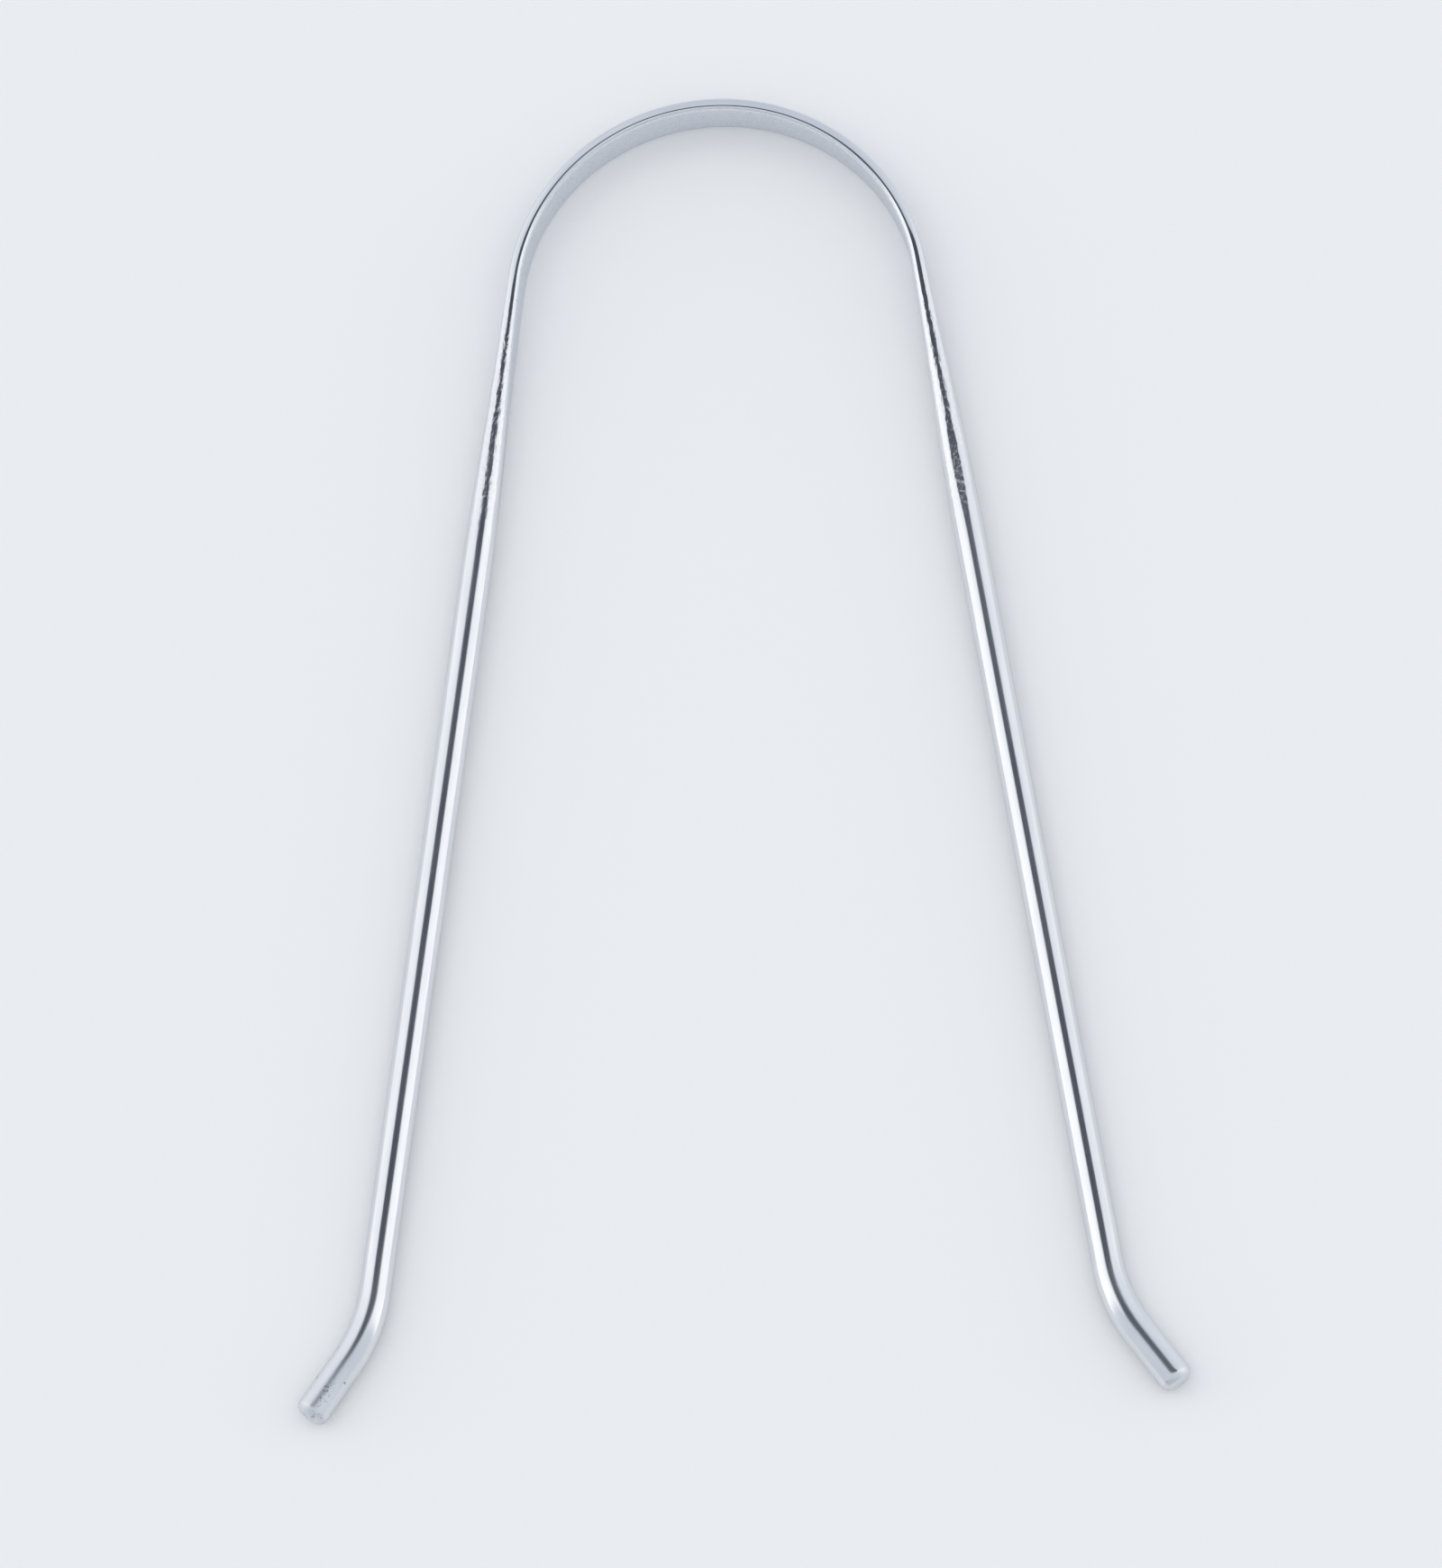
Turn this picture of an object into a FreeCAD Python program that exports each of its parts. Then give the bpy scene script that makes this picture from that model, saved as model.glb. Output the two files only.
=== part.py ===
"""Tongue scraper bent from one polished steel rod.

The middle of the rod is pressed flat to a band and bent to a bow. Two round arms
leave the bow, lean outwards, and end in short flared ends with rounded tips.
X runs across the arms, Y along the tool with the bow at +Y, and Z is up, square to
the plane of the rod. The origin is below the middle of the outline, at the height
of the band's lower edge. Lengths are in millimetres, and angles in degrees.
"""
import FreeCAD, Part
import math
import os
from FreeCAD import Vector

# Driving dimensions of the rod and its pressed band
rod_diameter = 3.5          # round stock
band_thickness = 1.45       # pressed flat over the bow
press_loss = 0.15           # share of the section that the press draws along the rod

# Driving dimensions of the bent outline, along the rod's middle line
bow_radius = 23.0           # the bow that goes over the tongue
arm_splay = 8.5             # lean of each arm away from the long axis
arm_length = 118.0          # straight run from the bow to the end bend
taper_lead = 2.0            # the band starts to swell this far inside the bow
taper_length = 36.0         # from flat band to round rod
end_bend_radius = 18.0
end_bend_angle = 27.0       # turn of each end, outwards
end_length = 7.5            # straight run after the bend, with the tip
tip_rounding = 0.7          # edge radius of the cut end

# The bow flexes about two lines, half way from its crown to each arm
flex_place_share = 0.5
flex_slit = 0.2             # gap along the middle line at each flex line

# Fixed angles and counts
quarter_turn = 90.0
half_turn = 2 * quarter_turn
round_face_angle = quarter_turn / 2     # a round rod is four equal quarter arcs
taper_steps = 8                         # spans between the taper's cross-sections

# Sizes that follow from the driving dimensions
rod_radius = rod_diameter / 2
rod_area = math.pi * rod_radius ** 2
up = Vector(0, 0, 1)


def pressed_width(thickness):
    """Width of a flat bar with round edges that the rod makes at this thickness."""
    pressed_share = (rod_diameter - thickness) / (rod_diameter - band_thickness)
    area = rod_area * (1 - press_loss * pressed_share)
    edge_area = math.pi * thickness ** 2 / 4
    flat_run = (area - edge_area) / thickness
    return flat_run + thickness


def heading(lean):
    """Direction of a run that leans away from -Y towards +X."""
    angle = math.radians(lean)
    return Vector(math.sin(angle), -math.cos(angle), 0)


def outward(lean):
    """Direction square to such a run, away from the middle of the tool."""
    angle = math.radians(lean)
    return Vector(math.cos(angle), math.sin(angle), 0)


# Distances along the middle line, counted from the crown of the bow
bow_half_length = bow_radius * math.radians(quarter_turn - arm_splay)
flex_place = bow_half_length * flex_place_share
taper_start = bow_half_length - taper_lead
taper_end = taper_start + taper_length
handle_length = bow_half_length + arm_length - taper_end

# Corners of the middle line on the right, measured from the centre of the bow
flare_lean = arm_splay + end_bend_angle
arm_start = outward(arm_splay) * bow_radius
arm_end = arm_start + heading(arm_splay) * arm_length
bend_centre = arm_end + outward(arm_splay) * end_bend_radius
flare_start = bend_centre - outward(flare_lean) * end_bend_radius

# The tool's reach to each end of Y sets the origin half way between them
tip_ring_centre = flare_start + heading(flare_lean) * (end_length - tip_rounding)
tip_ring_drop = (rod_radius - tip_rounding) * math.sin(math.radians(flare_lean))
tip_reach = tip_ring_centre.y - tip_ring_drop - tip_rounding
crown_reach = bow_radius + band_thickness / 2
rod_height = pressed_width(band_thickness) / 2
bow_centre = Vector(0, -(crown_reach + tip_reach) / 2, rod_height)


def middle_line(distance):
    """Point on the middle line and the outward direction there, on the right side."""
    if distance < bow_half_length:
        lean = quarter_turn - math.degrees(distance / bow_radius)
        return bow_centre + outward(lean) * bow_radius, outward(lean)
    along_arm = heading(arm_splay) * (distance - bow_half_length)
    return bow_centre + arm_start + along_arm, outward(arm_splay)


def arc_edge(centre, radius, middle_angle, half_angle, across):
    """Arc in a cross-section, with its angles counted from the outward direction."""
    points = []
    for turn in (-half_angle, 0, half_angle):
        angle = math.radians(middle_angle + turn)
        sideways = across * (radius * math.cos(angle))
        upwards = up * (radius * math.sin(angle))
        points.append(centre + sideways + upwards)
    return Part.Arc(*points).toShape()


def band_outline(distance):
    """Cross-section of the flat band: two flat faces and two half-round edges."""
    point, across = middle_line(distance)
    edge_radius = band_thickness / 2
    to_edge = up * (pressed_width(band_thickness) / 2 - edge_radius)
    to_face = across * edge_radius
    edges = [
        Part.makeLine(point + to_face - to_edge, point + to_face + to_edge),
        arc_edge(point + to_edge, edge_radius, quarter_turn, quarter_turn, across),
        Part.makeLine(point - to_face + to_edge, point - to_face - to_edge),
        arc_edge(point - to_edge, edge_radius, -quarter_turn, quarter_turn, across),
    ]
    return Part.Wire(edges)


def oval_outline(distance, thickness, face_angle):
    """Cross-section between band and rod: four arcs that run into each other.

    Each broad face is an arc that turns face_angle to either side of its middle.
    At round_face_angle the four arcs make a circle.
    """
    point, across = middle_line(distance)
    half_thick = thickness / 2
    half_wide = pressed_width(thickness) / 2
    sine = math.sin(math.radians(face_angle))
    cosine = math.cos(math.radians(face_angle))
    spread = sine - (1 - sine) * (1 - cosine) / cosine
    face_radius = (half_wide - half_thick * (1 - sine) / cosine) / spread
    edge_radius = (half_thick - face_radius * (1 - cosine)) / cosine
    to_face = across * (half_thick - face_radius)
    to_edge = up * (half_wide - edge_radius)
    edge_angle = quarter_turn - face_angle
    edges = [
        arc_edge(point + to_face, face_radius, 0, face_angle, across),
        arc_edge(point + to_edge, edge_radius, quarter_turn, edge_angle, across),
        arc_edge(point - to_face, face_radius, half_turn, face_angle, across),
        arc_edge(point - to_edge, edge_radius, -quarter_turn, edge_angle, across),
    ]
    return Part.Wire(edges)


def bow_section(start, end):
    """Flat band bent round the bow between two distances from the crown."""
    face = Part.Face(band_outline(start))
    turn = math.degrees((end - start) / bow_radius)
    return face.revolve(bow_centre, up, -turn)


def scraping_band():
    """Crown of the bow, between the two flex lines."""
    reach = flex_place - flex_slit / 2
    return bow_section(-reach, reach)


def shoulder():
    """Rest of the bow, from the flex line to the start of the taper."""
    return bow_section(flex_place + flex_slit / 2, taper_start)


def taper():
    """Pressed band that grows back to the round rod."""
    outlines = [band_outline(taper_start)]
    for step in range(1, taper_steps + 1):
        share = step / taper_steps
        eased = share * share * (3 - 2 * share)
        thickness = band_thickness + (rod_diameter - band_thickness) * eased
        face_angle = round_face_angle * eased ** 2
        outlines.append(oval_outline(taper_start + taper_length * share, thickness, face_angle))
    return Part.makeLoft(outlines, True)


def handle():
    """Straight round arm."""
    start, _ = middle_line(taper_end)
    return Part.makeCylinder(rod_radius, handle_length, start, heading(arm_splay))


def flared_end():
    """Round rod bent outwards, then straight to a rounded tip."""
    rim = Part.makeCircle(rod_radius, bow_centre + arm_end, heading(arm_splay))
    bend = Part.Face(Part.Wire(rim)).revolve(bow_centre + bend_centre, up, end_bend_angle)
    direction = heading(flare_lean)
    straight = Part.makeCylinder(rod_radius, end_length, bow_centre + flare_start, direction)
    tip_edge = max(straight.Edges, key=lambda edge: edge.CenterOfMass.dot(direction))
    rounded = straight.makeFillet(tip_rounding, [tip_edge])
    return bend.fuse(rounded).removeSplitter().Solids[0]


# The right side is drawn once and mirrored to the left
sections = {"scraping_band": scraping_band()}
for make in (shoulder, taper, handle, flared_end):
    right_side = make()
    sections["right_" + make.__name__] = right_side
    sections["left_" + make.__name__] = right_side.mirror(Vector(0, 0, 0), Vector(1, 0, 0))

os.makedirs("parts", exist_ok=True)
for name, shape in sections.items():
    shape.exportStep("parts/" + name + ".step")
    print(name, "valid", shape.isValid(), "solids", len(shape.Solids), "volume", round(shape.Volume, 3))
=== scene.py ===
# %% [markdown]
# # A tongue scraper bent from one steel rod
# The tool is a single polished rod. Its middle is pressed flat and bent to a bow, and
# its two ends stay round and serve as handles. This lesson dresses the packed model:
# the bent rod is swept by Geometry Nodes from a few sizes, gets one steel finish, and is
# set on a pale floor inside a light tent. The packed model is loaded first, and its box
# is kept, because the dressed tool has to stay as large as it.

# %% Load the packed model
import math

import bmesh
import bpy
from mathutils import Matrix, Vector


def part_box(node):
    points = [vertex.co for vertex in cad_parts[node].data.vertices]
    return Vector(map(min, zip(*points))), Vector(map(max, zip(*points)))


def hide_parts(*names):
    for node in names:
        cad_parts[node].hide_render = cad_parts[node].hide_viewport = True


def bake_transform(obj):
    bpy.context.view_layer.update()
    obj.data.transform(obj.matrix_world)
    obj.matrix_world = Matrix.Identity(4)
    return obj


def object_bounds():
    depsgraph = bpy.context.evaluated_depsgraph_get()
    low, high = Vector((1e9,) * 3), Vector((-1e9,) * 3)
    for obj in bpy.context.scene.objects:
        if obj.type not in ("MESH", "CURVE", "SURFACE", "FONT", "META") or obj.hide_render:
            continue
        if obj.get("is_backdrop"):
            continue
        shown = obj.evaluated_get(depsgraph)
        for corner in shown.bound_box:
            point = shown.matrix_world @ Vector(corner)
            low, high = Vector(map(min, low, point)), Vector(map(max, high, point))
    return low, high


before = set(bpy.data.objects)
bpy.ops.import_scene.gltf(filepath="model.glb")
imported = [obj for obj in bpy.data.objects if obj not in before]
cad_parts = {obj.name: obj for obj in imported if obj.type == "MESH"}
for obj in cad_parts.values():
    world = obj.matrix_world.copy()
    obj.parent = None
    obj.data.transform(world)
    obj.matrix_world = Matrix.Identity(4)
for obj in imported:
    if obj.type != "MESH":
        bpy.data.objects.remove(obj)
cad_low, cad_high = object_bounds()
print("nodes", sorted(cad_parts))
print("size in mm", [round(1000 * side, 2) for side in cad_high - cad_low])

# %% [markdown]
# ## Sizes of the rod
# Blender works in metres, so each size is written in millimetres and scaled once. The
# sizes along the rod count from the crown of the bow: half of the bow, a straight arm,
# a short bend and a straight flared end. They are the sizes of the packed solids, apart
# from the tips, which are rounded a little more. The place of the bow's centre comes
# from the packed band, so the swept rod lies where the solids are.

# %% Name the sizes
mm = 0.001
rod_diameter = 3.5 * mm
band_thickness = 1.45 * mm
press_loss = 0.15
bow_radius = 23.0 * mm
arm_splay = math.radians(8.5)
arm_length = 118.0 * mm
taper_lead = 2.0 * mm
taper_length = 36.0 * mm
end_bend_radius = 18.0 * mm
end_bend_angle = math.radians(27.0)
end_length = 7.5 * mm
tip_rounding = 1.1 * mm

bow_half_length = bow_radius * (math.pi / 2 - arm_splay)
rod_half_length = bow_half_length + arm_length + end_bend_radius * end_bend_angle + end_length
taper_start = bow_half_length - taper_lead
band_low, band_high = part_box("scraping_band")
bow_height = (band_low.z + band_high.z) / 2
bow_centre = Vector((0, band_high.y - bow_radius - band_thickness / 2, bow_height))
print("bow centre in mm", [round(place / mm, 3) for place in bow_centre])

# %% [markdown]
# ## Arithmetic with node sockets
# A rule such as "bow radius times the sine of an angle" takes one Math node for each
# step. Adding the nodes by hand hides the rule, so a small class lets a socket take part
# in plain Python arithmetic, and each sign adds its node. The same class writes the
# steel and the light tent later on.

# %% Let sockets take part in arithmetic
class Wire:
    """A node's output that can be added, scaled and eased like a number."""

    def __init__(self, tree, socket):
        self.tree = tree
        self.socket = socket

    def step(self, operation, *others):
        """A Math node with this wire as its first input."""
        node = self.tree.nodes.new("ShaderNodeMath")
        node.operation = operation
        for socket, value in zip(node.inputs, (self, *others)):
            feed(socket, value)
        return Wire(self.tree, node.outputs[0])

    def __add__(self, other):
        return self.step("ADD", other)

    def __sub__(self, other):
        return self.step("SUBTRACT", other)

    def __mul__(self, other):
        return self.step("MULTIPLY", other)

    def __truediv__(self, other):
        return self.step("DIVIDE", other)

    def __neg__(self):
        return self.step("MULTIPLY", -1.0)

    def flipped(self, whole=1.0):
        """What is missing from the whole."""
        return (-self) + whole

    def within(self, low, high):
        """The wire held between two limits."""
        return self.step("MAXIMUM", low).step("MINIMUM", high)

    def eased(self, low, high):
        """0 below low, 1 above high, and a smooth S between them."""
        node = self.tree.nodes.new("ShaderNodeMapRange")
        node.interpolation_type = "SMOOTHSTEP"
        for name, value in (("Value", self), ("From Min", low), ("From Max", high)):
            feed(node.inputs[name], value)
        return Wire(self.tree, node.outputs["Result"])


def feed(socket, value):
    """Link a wire to a socket, or write a plain value into it."""
    if isinstance(value, Wire):
        value.tree.links.new(value.socket, socket)
    else:
        socket.default_value = value


def split(tree, vector):
    """The three parts of a vector wire."""
    node = tree.nodes.new("ShaderNodeSeparateXYZ")
    feed(node.inputs[0], vector)
    return [Wire(tree, output) for output in node.outputs]


def join(tree, *parts):
    """A vector wire from three parts."""
    node = tree.nodes.new("ShaderNodeCombineXYZ")
    for socket, part in zip(node.inputs, parts):
        feed(socket, part)
    return Wire(tree, node.outputs[0])


print("a wire knows", [name for name in vars(Wire) if not name.startswith("__")])

# %% [markdown]
# ## Inputs of the sweep
# A curve with a bevel would give a rod of one thickness, but this rod changes from a
# flat band to a round bar. So the tree starts from a plain grid, whose one direction
# becomes the way along the rod and whose other direction goes round it, and moves each
# point by rule. The sizes are named inputs, so either half of the tool, or a tool of
# other sizes, comes from the same tree.

# %% Start the tree and its inputs
rod_tree = bpy.data.node_groups.new("half_of_the_rod", "GeometryNodeTree")
rod_sizes = {
    "Rod Diameter": rod_diameter,
    "Band Thickness": band_thickness,
    "Press Loss": press_loss,
    "Bow Radius": bow_radius,
    "Arm Splay": arm_splay,
    "Arm Length": arm_length,
    "Taper Start": taper_start,
    "Taper Length": taper_length,
    "End Bend Radius": end_bend_radius,
    "End Bend Angle": end_bend_angle,
    "End Length": end_length,
    "Tip Rounding": tip_rounding,
    "Crest Shift": 0.45,
    "Edge Fullness": 0.3,
    "Press Mark Place": 57.5 * mm,
    "Press Mark Reach": 9.0 * mm,
    "Press Mark Depth": 0.07 * mm,
    "End Swell": 0.09,
    "Side": 1.0,
}
for name in rod_sizes:
    rod_tree.interface.new_socket(name=name, in_out="INPUT", socket_type="NodeSocketFloat")
rod_tree.interface.new_socket(name="Geometry", in_out="OUTPUT", socket_type="NodeSocketGeometry")
rod_input = rod_tree.nodes.new("NodeGroupInput")
rod_output = rod_tree.nodes.new("NodeGroupOutput")
size = {name: Wire(rod_tree, rod_input.outputs[name]) for name in rod_sizes}
print("inputs", len(size))

# %% [markdown]
# ## Rows and columns of the grid
# Most rows are rings along the rod. A few first rows close the cut at the crown, where
# the two halves meet, and the last rows round the tip and close it. The columns go round
# the section, and the last column lies on the first, to be merged with it.

# %% Count the rows and columns
cut_rows = 4
long_rows = 560
tip_rows = 10
end_rows = 4
all_rows = cut_rows + long_rows + tip_rows + end_rows
columns = 96

grid = rod_tree.nodes.new("GeometryNodeMeshGrid")
grid.inputs["Size X"].default_value = all_rows
grid.inputs["Size Y"].default_value = 1.0
grid.inputs["Vertices X"].default_value = all_rows + 1
grid.inputs["Vertices Y"].default_value = columns + 1
grid_place = rod_tree.nodes.new("GeometryNodeInputPosition")
grid_x, grid_y, _ = split(rod_tree, Wire(rod_tree, grid_place.outputs[0]))
exact_row = grid_x + all_rows / 2
row = exact_row.step("ROUND")
turn_share = grid_y + 0.5
print("rings", all_rows + 1, "points in a ring", columns)

# %% [markdown]
# ## The way along the rod
# Each row gets its distance from the crown. The rows of the cut share one distance and
# grow from a point to the full section. The rows of the tip follow a quarter circle, so
# the rim of the cut end is rounded, and the last rows shrink to a point.

# %% Turn rows into distances
rod_radius = size["Rod Diameter"] / 2.0
splay = size["Arm Splay"]
bow_run = size["Bow Radius"] * splay.flipped(math.pi / 2)
bend_run = size["End Bend Radius"] * size["End Bend Angle"]
rod_run = bow_run + size["Arm Length"] + bend_run + size["End Length"]

cut_share = (row / cut_rows).within(0.0, 1.0)
long_share = ((row - cut_rows) / long_rows).within(0.0, 1.0)
tip_share = ((row - (cut_rows + long_rows)) / tip_rows).within(0.0, 1.0)
end_share = ((row - (cut_rows + long_rows + tip_rows)) / end_rows).within(0.0, 1.0)

tip_turn = tip_share * (math.pi / 2)
run_to_tip = rod_run - size["Tip Rounding"]
distance = run_to_tip * long_share + size["Tip Rounding"] * tip_turn.step("SINE")
tip_loss = size["Tip Rounding"] / rod_radius * tip_turn.step("COSINE").flipped()
fill = cut_share * tip_loss.flipped() * end_share.flipped()
print("half of the rod in mm", round(rod_half_length / mm, 2))

# %% [markdown]
# ## The middle line
# The middle line is the sum of four runs, and each run stops growing at its end: an arc
# round the bow, a straight arm, an arc for the end bend and the straight flared end. The
# lean of the line away from the long axis gives the direction across it.

# %% Lay the middle line
bow_turn = distance.step("MINIMUM", bow_run) / size["Bow Radius"]
past_bow = distance - bow_run
arm_run = past_bow.within(0.0, size["Arm Length"])
past_arm = past_bow - size["Arm Length"]
bend_turn = past_arm.within(0.0, bend_run) / size["End Bend Radius"]
flare_run = (past_arm - bend_run).step("MAXIMUM", 0.0)

bend_lean = splay + bend_turn
flare_lean = splay + size["End Bend Angle"]
middle_x = (
    size["Bow Radius"] * bow_turn.step("SINE")
    + arm_run * splay.step("SINE")
    + size["End Bend Radius"] * (splay.step("COSINE") - bend_lean.step("COSINE"))
    + flare_run * flare_lean.step("SINE")
)
middle_y = (
    size["Bow Radius"] * bow_turn.step("COSINE")
    - arm_run * splay.step("COSINE")
    + size["End Bend Radius"] * (splay.step("SINE") - bend_lean.step("SINE"))
    - flare_run * flare_lean.step("COSINE")
)
lean = bow_turn.flipped(math.pi / 2) + bend_turn
print("nodes after the middle line", len(rod_tree.nodes))

# %% [markdown]
# ## The section
# The press turns the round section into a flat bar with rounded edges, and draws a
# little of its metal along the rod. The flats shrink to nothing where the rod is round.
# A walk round the outline places the points: each flat and each edge is a stretch of
# the walk, and the flats get fewer points because they don't curve.

# %% Walk round the section
swelling = ((distance - size["Taper Start"]) / size["Taper Length"]).eased(0.0, 1.0)
pressed = swelling.flipped()
thickness = size["Band Thickness"] + (size["Rod Diameter"] - size["Band Thickness"]) * swelling
edge_radius = thickness / 2.0
section_area = rod_radius * rod_radius * (size["Press Loss"] * pressed).flipped() * math.pi
flat_run = (section_area - edge_radius * edge_radius * math.pi) / thickness
half_flat = flat_run / 2.0

flat_pace = 2.5
flat_walk = flat_run / flat_pace
edge_walk = edge_radius * math.pi
walked = (flat_walk + edge_walk) * 2.0 * turn_share
past_top_start = walked - flat_walk / 2.0
past_inner_start = past_top_start - edge_walk
past_bottom_start = past_inner_start - flat_walk
past_last_flat = past_bottom_start - edge_walk
top_turn = (past_top_start / edge_radius).within(0.0, math.pi)
bottom_turn = (past_bottom_start / edge_radius).within(0.0, math.pi)
section_turn = top_turn + bottom_turn
up_outside = walked.within(0.0, flat_walk / 2.0) + past_last_flat.within(0.0, flat_walk / 2.0)
on_flats = (up_outside - past_inner_start.within(0.0, flat_walk)) * flat_pace
print("nodes after the section", len(rod_tree.nodes))

# %% [markdown]
# ## Edges and press marks
# Bending the band swells its inner side and draws in its outer side, so the edges aren't
# true half-circles: their crest lies inside the middle, most of all at the crown, and
# they are a little fuller. A mark of the press also flattens the top of each taper, and
# the bent ends are a little thicker than the arms.

# %% Shape the edges
turn_cosine = section_turn.step("COSINE")
crest_reach = bow_run * 1.5
crest_fade = (distance / crest_reach).within(0.0, 1.0).flipped()
crest = size["Crest Shift"] * crest_fade * turn_cosine.step("ABSOLUTE").flipped()
across = edge_radius * (turn_cosine - crest)

exponent = (size["Edge Fullness"] * pressed).flipped()
top_sine = top_turn.step("SINE").within(0.0, 1.0)
bottom_sine = bottom_turn.step("SINE").within(0.0, 1.0)
rise = top_sine.step("POWER", exponent) - bottom_sine.step("POWER", exponent)
height = edge_radius * rise + on_flats

mark_offset = (distance - size["Press Mark Place"]) / size["Press Mark Reach"]
mark_shape = mark_offset.step("ABSOLUTE").eased(1.0, 0.0)
mark_level = half_flat + edge_radius - size["Press Mark Depth"] * mark_shape
mark_blur = 0.02 * mm
mark_margin = mark_blur / 4
height = height.step("SMOOTH_MIN", mark_level + mark_margin, mark_blur)

swell_start = -2.0 * mm
swell_full = 7.0 * mm
swell = size["End Swell"] * past_arm.eased(swell_start, swell_full)
girth = fill * (swell + 1.0)
across = across * girth
height = height * girth
print("nodes after the edges", len(rod_tree.nodes))

# %% [markdown]
# ## Marks for the finish
# The steel's grain follows the rod round its bends, so each point also keeps its place
# on the rod as it was before bending: distance along, across and up. Two more marks say
# how far the metal is pressed and where the frosted faces are, which reach further up
# the edge on the inside. The marks are stored while the grid still knows its rows.

# %% Store the marks
def store(geometry, name, value, data_type):
    """Keep a value on every point under a name that the material can read."""
    node = rod_tree.nodes.new("GeometryNodeStoreNamedAttribute")
    node.data_type = data_type
    node.domain = "POINT"
    rod_tree.links.new(geometry, node.inputs["Geometry"])
    node.inputs["Name"].default_value = name
    feed(node.inputs["Value"], value)
    return node.outputs["Geometry"]


# How far up an edge the frost stays full, and where it is gone: 0 is the flat, 1 the crest
outer_frost_full = 0.1
outer_frost_gone = 0.75
inner_frost_full = 0.78
inner_frost_gone = 0.98
inner_side = turn_cosine.step("LESS_THAN", 0.0)
frost_full = inner_side * (inner_frost_full - outer_frost_full) + outer_frost_full
frost_gone = inner_side * (inner_frost_gone - outer_frost_gone) + outer_frost_gone
flat_face = (top_sine + bottom_sine).eased(frost_gone, frost_full) * pressed
unbent = join(rod_tree, distance * size["Side"], across, height)
sheet = grid.outputs["Mesh"]
sheet = store(sheet, "unbent", unbent, "FLOAT_VECTOR")
sheet = store(sheet, "pressed", pressed, "FLOAT")
sheet = store(sheet, "flat_face", flat_face, "FLOAT")
print("nodes after the marks", len(rod_tree.nodes))

# %% [markdown]
# ## From grid to rod
# The grid is shaded smooth, apart from the cut at the crown, which stays flat so that
# its rim doesn't bend the shine of the band beside it. Then every point moves to its
# place, and points that meet are merged: the seam along the rod, and both closed ends.

# %% Finish the tree
def shade(geometry, selection, smooth):
    """Shade the chosen faces smooth or flat."""
    node = rod_tree.nodes.new("GeometryNodeSetShadeSmooth")
    rod_tree.links.new(geometry, node.inputs["Geometry"])
    feed(node.inputs["Selection"], selection)
    node.inputs["Shade Smooth"].default_value = smooth
    return node.outputs["Geometry"]


quarter_row = 0.25
in_the_cut = exact_row.step("LESS_THAN", cut_rows - quarter_row)
sheet = shade(shade(sheet, True, True), in_the_cut, False)

move = rod_tree.nodes.new("GeometryNodeSetPosition")
rod_tree.links.new(sheet, move.inputs["Geometry"])
place_x = (middle_x + across * lean.step("COSINE")) * size["Side"] + bow_centre.x
place_y = middle_y + across * lean.step("SINE") + bow_centre.y
feed(move.inputs["Position"], join(rod_tree, place_x, place_y, height + bow_centre.z))

merge = rod_tree.nodes.new("GeometryNodeMergeByDistance")
merge.inputs["Distance"].default_value = 0.001 * mm
realize = rod_tree.nodes.new("GeometryNodeRealizeInstances")
coat = rod_tree.nodes.new("GeometryNodeSetMaterial")
chain = (move, merge, realize, coat, rod_output)
for before, after in zip(chain, chain[1:]):
    rod_tree.links.new(before.outputs["Geometry"], after.inputs["Geometry"])
print("nodes in the tree", len(rod_tree.nodes))

# %% [markdown]
# ## The steel
# The rod is drawn and polished: bright, with fine lines along it. The pressed band was
# squeezed between dies, so its flats are satin and grainy, while its edges are
# burnished. One Principled shader covers all of it. The marks stored on the mesh steer
# its roughness, and noise in the unbent rod's own coordinates makes the lines, the
# mottling and the grain, so they follow every bend.

# %% Start the steel
steel = bpy.data.materials.new("polished_steel")
steel.use_nodes = True
steel_tree = steel.node_tree
shader = steel_tree.nodes["Principled BSDF"]
shader.inputs["Metallic"].default_value = 1.0
edge_tint = (0.85, 0.86, 0.88, 1.0)
shader.inputs["Specular Tint"].default_value = edge_tint


def mark(name, output="Fac"):
    """A value that the sweep stored on the mesh."""
    node = steel_tree.nodes.new("ShaderNodeAttribute")
    node.attribute_name = name
    return Wire(steel_tree, node.outputs[output])


def noise(length_along, length_across, detail=2.0):
    """Noise on the unbent rod, stretched to the two lengths, from 0 to 1."""
    stretched = join(
        steel_tree,
        rod_along / length_along,
        rod_across / length_across,
        rod_up / length_across,
    )
    node = steel_tree.nodes.new("ShaderNodeTexNoise")
    node.inputs["Scale"].default_value = 1.0
    node.inputs["Detail"].default_value = detail
    feed(node.inputs["Vector"], stretched)
    return Wire(steel_tree, node.outputs["Fac"])


rod_along, rod_across, rod_up = split(steel_tree, mark("unbent", "Vector"))
pressed_share = mark("pressed")
face_share = mark("flat_face")
print("nodes that read the marks", len(steel_tree.nodes))

# %% [markdown]
# ## Wear and roughness
# The steel isn't the same everywhere. Mottling varies it over a few millimetres, the
# flats are frosted by the dies, the cut ends are dull, and the flared ends are scuffed by
# use, the left one most. Each of these adds its share to the roughness.

# %% Roughness of the steel
wear_start = 140.0 * mm
wear_full = 158.0 * mm
grime_start = 155.0 * mm
grime_full = 164.0 * mm
dull_start = rod_half_length - tip_rounding
dull_full = rod_half_length - tip_rounding / 2

from_crown = rod_along.step("ABSOLUTE")
worn_end = from_crown.eased(wear_start, wear_full)
worn_left_end = rod_along.eased(-grime_start, -grime_full)
cut_end = from_crown.eased(dull_start, dull_full)
mottling = noise(8.0 * mm, 0.7 * mm, detail=3.0)

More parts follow.
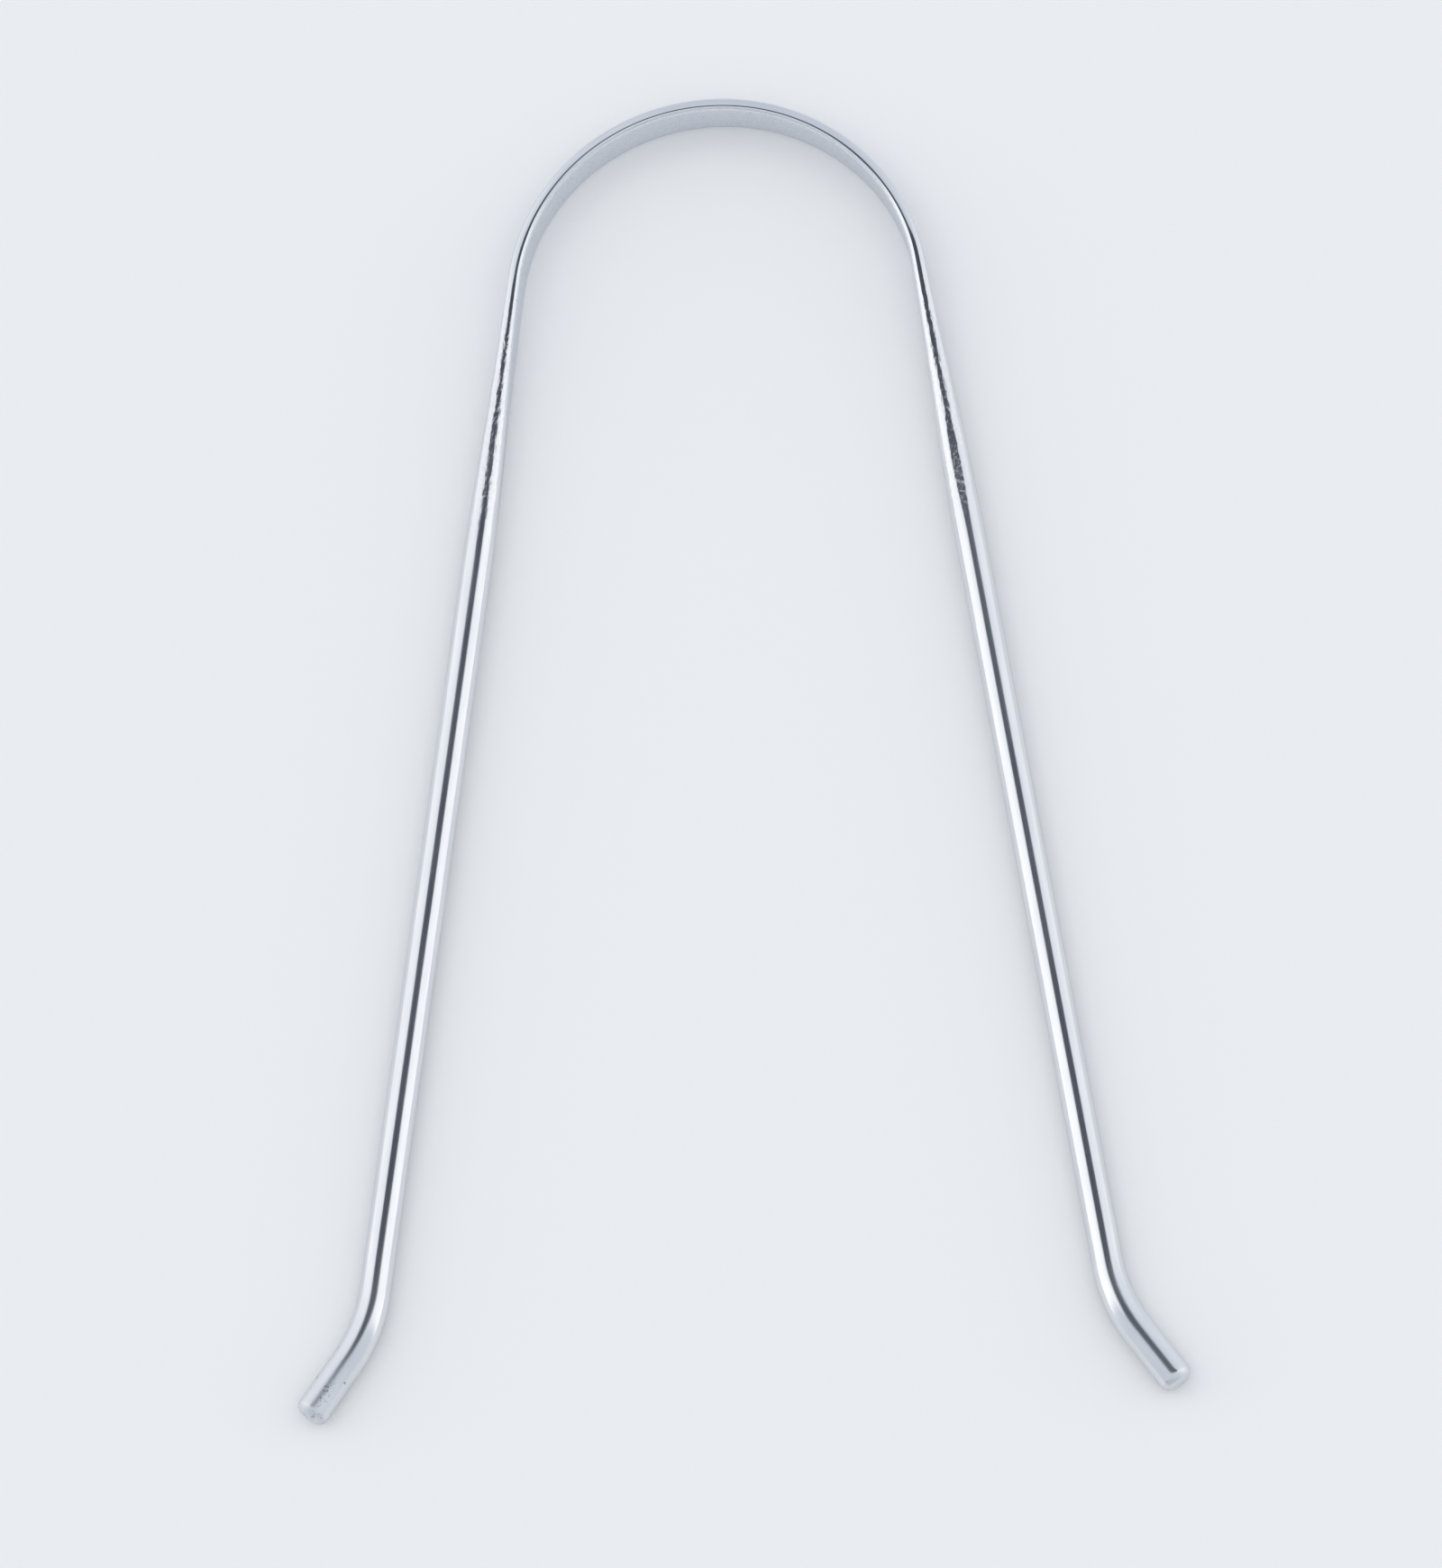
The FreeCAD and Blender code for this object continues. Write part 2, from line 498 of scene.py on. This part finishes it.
rod_roughness = 0.15
edge_roughness = 0.08
face_roughness = 0.36
mottling_roughness = 0.06
wear_roughness = 0.03
grime_roughness = 0.16
cut_roughness = 0.28
roughness = (
    pressed_share * (edge_roughness - rod_roughness)
    + face_share * (face_roughness - edge_roughness)
    + (mottling - 0.5) * mottling_roughness
    + worn_end * wear_roughness
    + worn_left_end * grime_roughness
    + cut_end * cut_roughness
    + rod_roughness
)
feed(shader.inputs["Roughness"], roughness.within(0.05, 0.6))
print("roughness of rod, edges and flats", rod_roughness, edge_roughness, face_roughness)

# %% [markdown]
# ## Colour
# All tones of the steel lie on one colour ramp, from grime over dull and clean steel to
# pale frosted steel. Mottling moves the bare rod along the ramp, grain moves the frosted
# flats, and specks of grime on the left end lead back to the dark start of the ramp.

# %% Colour of the steel
tint = steel_tree.nodes.new("ShaderNodeValToRGB")
ramp = tint.color_ramp.elements
grime_tone = ramp[0]
grime_tone.position = 0.0
grime_tone.color = (0.30, 0.30, 0.31, 1.0)
clean_tone = ramp[1]
clean_tone.position = 0.7
clean_tone.color = (0.81, 0.82, 0.835, 1.0)
dull_tone = ramp.new(0.25)
dull_tone.color = (0.73, 0.75, 0.785, 1.0)
frosted_tone = ramp.new(1.0)
frosted_tone.color = (0.82, 0.86, 0.93, 1.0)

grain = noise(0.22 * mm, 0.2 * mm, detail=1.0)
grime_patches = noise(3.0 * mm, 1.5 * mm).eased(0.45, 0.6)
specks = noise(0.35 * mm, 0.25 * mm, detail=4.0).eased(0.55, 0.66) * grime_patches
grain_contrast = 2.4
mottling_contrast = 0.2
frost_offset = -0.5
speck_depth = 0.7
frost = grain * grain_contrast + mottling * mottling_contrast + frost_offset
grime = specks * worn_left_end * speck_depth
shine = mottling * face_share.flipped() + frost * face_share - grime
feed(tint.inputs["Fac"], shine.within(0.0, 1.0))
feed(shader.inputs["Base Color"], Wire(steel_tree, tint.outputs["Color"]))
print("tones lie at", [round(tone.position, 2) for tone in ramp])

# %% [markdown]
# ## Relief
# Three kinds of relief break up the reflections: fine drawing lines along the whole rod,
# a grain on the flats, and wrinkles where the press let go of the rod in the tapers.
# They are a few hundredths of a millimetre deep at most, so bump is enough for them.

# %% Relief of the steel
def relief(height_wire, depth, below=None):
    """A Bump node of the given depth in metres, laid over the one below it."""
    node = steel_tree.nodes.new("ShaderNodeBump")
    node.inputs["Distance"].default_value = depth
    feed(node.inputs["Height"], height_wire)
    if below is not None:
        steel_tree.links.new(below, node.inputs["Normal"])
    return node.outputs["Normal"]


line_depth = 0.0012 * mm
grain_depth = 0.012 * mm
wrinkle_depth = 0.06 * mm
wrinkles_start = 34.0 * mm
wrinkles_end = 66.0 * mm
wrinkles_fade = 8.0 * mm

drawing_lines = noise(14.0 * mm, 0.16 * mm)
wrinkles = noise(0.8 * mm, 0.4 * mm, detail=4.0)
fade_in = from_crown.eased(wrinkles_start, wrinkles_start + wrinkles_fade)
fade_out = from_crown.eased(wrinkles_end, wrinkles_end - wrinkles_fade)

lines_relief = relief(drawing_lines, line_depth)
grain_relief = relief(grain * face_share, grain_depth, lines_relief)
wrinkle_relief = relief(wrinkles * (fade_in * fade_out), wrinkle_depth, grain_relief)
steel_tree.links.new(wrinkle_relief, shader.inputs["Normal"])
coat.inputs["Material"].default_value = steel
print("nodes in the steel", len(steel_tree.nodes))

# %% [markdown]
# ## Two halves of one rod
# The bow bends a little when the arms are pinched, and each arm has its own joint, so
# the rod is made as a left and a right half that meet in the crown. Each half is turned
# into a plain mesh, and its faces are made to point outwards, because the left half is a
# mirror image. The edges of the flat cut are marked sharp, so the shine runs straight
# across the crown. The two arms aren't quite alike: the left taper starts later, its
# press mark is fainter, and the left end swells less.

# %% Make the halves
def make_half(name, changes):
    """One half of the rod as a plain mesh, from the tree and the sizes that differ."""
    half = bpy.data.objects.new(name, bpy.data.meshes.new(name))
    bpy.context.scene.collection.objects.link(half)
    sweep = half.modifiers.new("sweep", "NODES")
    sweep.node_group = rod_tree
    values = {**rod_sizes, **changes}
    for item in rod_tree.interface.items_tree:
        if item.in_out == "INPUT":
            sweep[item.identifier] = values[item.name]

    depsgraph = bpy.context.evaluated_depsgraph_get()
    swept = bpy.data.meshes.new_from_object(half.evaluated_get(depsgraph))
    half.modifiers.remove(sweep)
    half.data = swept
    swept.name = name

    shell = bmesh.new()
    shell.from_mesh(swept)
    bmesh.ops.recalc_face_normals(shell, faces=shell.faces)
    for edge in shell.edges:
        edge.smooth = all(face.smooth for face in edge.link_faces)
    open_edges = [edge for edge in shell.edges if not edge.is_manifold]
    volume = shell.calc_volume(signed=True) / mm ** 3
    print(name, "faces", len(shell.faces), "open edges", len(open_edges), "mm3", round(volume, 1))
    shell.to_mesh(swept)
    shell.free()
    return half


taper_shift = 2.0 * mm
right_half = make_half("right_half_of_rod", {"Taper Start": taper_start - taper_shift})
left_half = make_half(
    "left_half_of_rod",
    {
        "Side": -1.0,
        "Taper Start": taper_start + taper_shift,
        "Press Mark Place": 53.0 * mm,
        "Press Mark Depth": 0.02 * mm,
        "End Swell": 0.06,
    },
)

# %% [markdown]
# ## The halves take the place of the packed parts
# The joints turn each arm about a line in the bow. On the real tool no single line
# bends: the whole flank of the bow gives a little. Each half hides the packed band and
# the four packed sections of its arm, and its place is written into its own points.


for half, word, side in ((left_half, "left", -1), (right_half, "right", 1)):
    sections = [word + "_" + section for section in ("shoulder", "taper", "handle", "flared_end")]
    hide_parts("scraping_band", *sections)
    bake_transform(half)

# %% [markdown]
# ## The floor
# The band is wider than the rod is thick, so on a table the tool rests on the band's
# lower edge and on its two tips. The floor leans by about half a degree to touch all
# three places, and it is large, because a long lens sees far along it from a low angle.

# %% Lay the floor
floor_size = 30.0
floor_thickness = 0.05
tip_y = cad_low.y + rod_diameter / 2
tip_low = bow_centre.z - rod_diameter / 2
band_edge_y = band_high.y - band_thickness / 2
floor_lean = math.atan2(band_low.z - tip_low, band_edge_y - tip_y)
touch = Vector((0, band_edge_y, band_low.z))
floor_turn = Matrix.Translation(touch) @ Matrix.Rotation(floor_lean, 4, "X")

slab = bmesh.new()
slab_size = Matrix.Diagonal((floor_size, floor_size, floor_thickness, 1.0))
slab_sunk = Matrix.Translation((0, 0, -floor_thickness / 2))
bmesh.ops.create_cube(slab, size=1.0, matrix=slab_sunk @ slab_size)
slab.transform(floor_turn)
floor_mesh = bpy.data.meshes.new("floor")
slab.to_mesh(floor_mesh)
slab.free()
floor = bpy.data.objects.new("floor", floor_mesh)
bpy.context.scene.collection.objects.link(floor)
floor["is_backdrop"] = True

paper = bpy.data.materials.new("floor_paper")
paper.use_nodes = True
paper_shader = paper.node_tree.nodes["Principled BSDF"]
paper_shader.inputs["Base Color"].default_value = (0.86, 0.86, 0.855, 1.0)
paper_shader.inputs["Roughness"].default_value = 0.9
paper_shader.inputs["Specular IOR Level"].default_value = 0.0
floor_mesh.materials.append(paper)
print("floor leans by degrees", round(math.degrees(floor_lean), 3))

# %% [markdown]
# ## The light tent
# Polished steel shows its surroundings more than itself. The reflections in the photograph
# fit a white tent with a bright panel on either side and a dark slit above: the slit is
# the dark stripe along every rod. The world shader draws this tent by direction, so the
# first step splits a look from the tool into its three parts.

# %% Start the tent
world = bpy.data.worlds.new("light_tent")
world.use_nodes = True
bpy.context.scene.world = world
tent_tree = world.node_tree
look = tent_tree.nodes.new("ShaderNodeTexCoord")
look_x, look_y, look_z = split(tent_tree, Wire(tent_tree, look.outputs["Generated"]))


def blend_light(share, low, high):
    """Mix two lights, each a colour or a wire, by a share from 0 to 1."""
    node = tent_tree.nodes.new("ShaderNodeMix")
    node.data_type = "RGBA"
    feed(node.inputs["Factor"], share)
    feed(node.inputs[6], low)
    feed(node.inputs[7], high)
    return Wire(tent_tree, node.outputs[2])


print("a look has three parts", [part.socket.name for part in (look_x, look_y, look_z)])

# %% [markdown]
# ## Walls, panels and the open front
# The walls are a cool grey-white, a little bluer at the back. The side panels start with
# a straight front edge that leans back, and fade towards the back wall. Low at the front
# the tent is open to a dim room.

# %% Light the walls and panels
back_light = (0.66, 0.71, 0.80, 1.0)
front_light = (0.69, 0.73, 0.79, 1.0)
panel_light = (1.32, 1.32, 1.32, 1.0)
room_light = (0.20, 0.215, 0.24, 1.0)

front_wall_end = -0.6
back_wall_start = 0.9
tent = blend_light(look_y.eased(front_wall_end, back_wall_start), front_light, back_light)

panel_front = math.tan(math.radians(12.5))
panel_lean = 0.19
panel_turn = math.radians(4.0)
panel_blur = 0.03
smallest_divisor = 0.001
past_panel_front = look_y + look_x.step("ABSOLUTE") * panel_front - look_z * panel_lean
front_share = past_panel_front.eased(-panel_blur, panel_blur)
level_run = (look_x * look_x + look_y * look_y).step("SQRT").step("MAXIMUM", smallest_divisor)
backwards = (look_y * math.cos(panel_turn) + look_x * math.sin(panel_turn)) / level_run
back_share = backwards.within(0.0, 1.0).flipped()
tent = blend_light(front_share * back_share, tent, panel_light)

room_side_edge = 0.64
room_side_full = 0.78
room_top_edge = 0.36
room_top_full = 0.26
forwards = -look_y / level_run
between_sides = forwards.eased(room_side_edge, room_side_full)
below_top = look_z.eased(room_top_edge, room_top_full)
tent = blend_light(between_sides * below_top, tent, room_light)
print("nodes after the open front", len(tent_tree.nodes))

# %% [markdown]
# ## The slit in the roof
# A look divided by its rise gives the place where it meets a flat roof. The slit has four
# straight edges there. It isn't quite black, because the dim room shows through it.

# %% Cut the slit
slit_light = (0.075, 0.083, 0.105, 1.0)
slit_left = math.tan(math.radians(-26.0))
slit_right = math.tan(math.radians(32.0))
slit_front = math.tan(math.radians(3.8))
slit_back = math.tan(math.radians(22.7))
slit_left_slope = 0.52
slit_right_slope = -0.5
slit_front_slope = 0.19
slit_back_slope = 0.12
slit_blur = 0.025
look_rise = look_z.step("MAXIMUM", smallest_divisor)
roof_x = look_x / look_rise
roof_y = look_y / look_rise


def past(run, edge):
    """0 before an edge of the slit, 1 past it, and a soft line between them."""
    return run.eased(edge - slit_blur, edge + slit_blur)


past_left = past(roof_x - roof_y * slit_left_slope, slit_left)
past_right = past(roof_x - roof_y * slit_right_slope, slit_right)
past_front = past(roof_y - roof_x * slit_front_slope, slit_front)
past_back = past(roof_y - roof_x * slit_back_slope, slit_back)
slit = past_left * past_right.flipped() * past_front * past_back.flipped()
tent = blend_light(slit, tent, slit_light)

background = tent_tree.nodes["Background"]
feed(background.inputs["Color"], tent)
background.inputs["Strength"].default_value = 1.0
print("nodes in the tent", len(tent_tree.nodes))

# %% [markdown]
# ## A lamp for the paper
# The tent alone leaves the paper grey, because its dark slit hangs right above. A broad
# soft lamp from above makes up for that. It is hidden from glossy rays, so that the steel
# mirrors the tent and not the lamp.

# %% Hang the lamp
lamp_light = bpy.data.lights.new("paper_lamp", "SUN")
lamp_light.energy = 0.7
lamp_light.angle = math.radians(70)
lamp = bpy.data.objects.new("paper_lamp", lamp_light)
lamp.visible_glossy = False
bpy.context.scene.collection.objects.link(lamp)
print("lamp energy", lamp_light.energy)

# %% [markdown]
# ## The camera
# The photograph was taken from above with a long lens: it looks down at 72 degrees, a
# little from the right, and is turned so that the tool stands upright in the picture.
# A far camera with a long lens gives the flat perspective that it has there.

# %% Set the camera
view_azimuth = math.radians(12.14)
view_elevation = math.radians(72.13)
view_roll = math.radians(-14.04)
view_distance = 1.2
view_target = bow_centre + Vector((-0.915, -56.65, 0)) * mm

towards_camera = Vector((
    math.sin(view_azimuth) * math.cos(view_elevation),
    -math.cos(view_azimuth) * math.cos(view_elevation),
    math.sin(view_elevation),
))
level_right = Vector((math.cos(view_azimuth), math.sin(view_azimuth), 0))
level_up = towards_camera.cross(level_right)
picture_right = level_right * math.cos(view_roll) + level_up * math.sin(view_roll)
picture_up = level_up * math.cos(view_roll) - level_right * math.sin(view_roll)

lens = bpy.data.cameras.new("photo_camera")
lens.lens = 248.276
lens.sensor_width = 36.0
lens.clip_start = 0.05
lens.clip_end = 60.0
camera = bpy.data.objects.new("photo_camera", lens)
bpy.context.scene.collection.objects.link(camera)
axes = Matrix((picture_right, picture_up, towards_camera)).transposed().to_4x4()
camera.matrix_world = Matrix.Translation(view_target + towards_camera * view_distance) @ axes
bpy.context.scene.camera = camera
bpy.context.scene.view_settings.view_transform = "Standard"
print("camera at", [round(place, 4) for place in camera.location])

# %% [markdown] ## Last look at the size The dressed tool has to fill nearly the same
# box as the packed solids.

# %% Write the boxes and finish
dressed_low, dressed_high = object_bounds()
growth = (dressed_high - dressed_low) - (cad_high - cad_low)
print("growth in mm", [round(side / mm, 3) for side in growth])
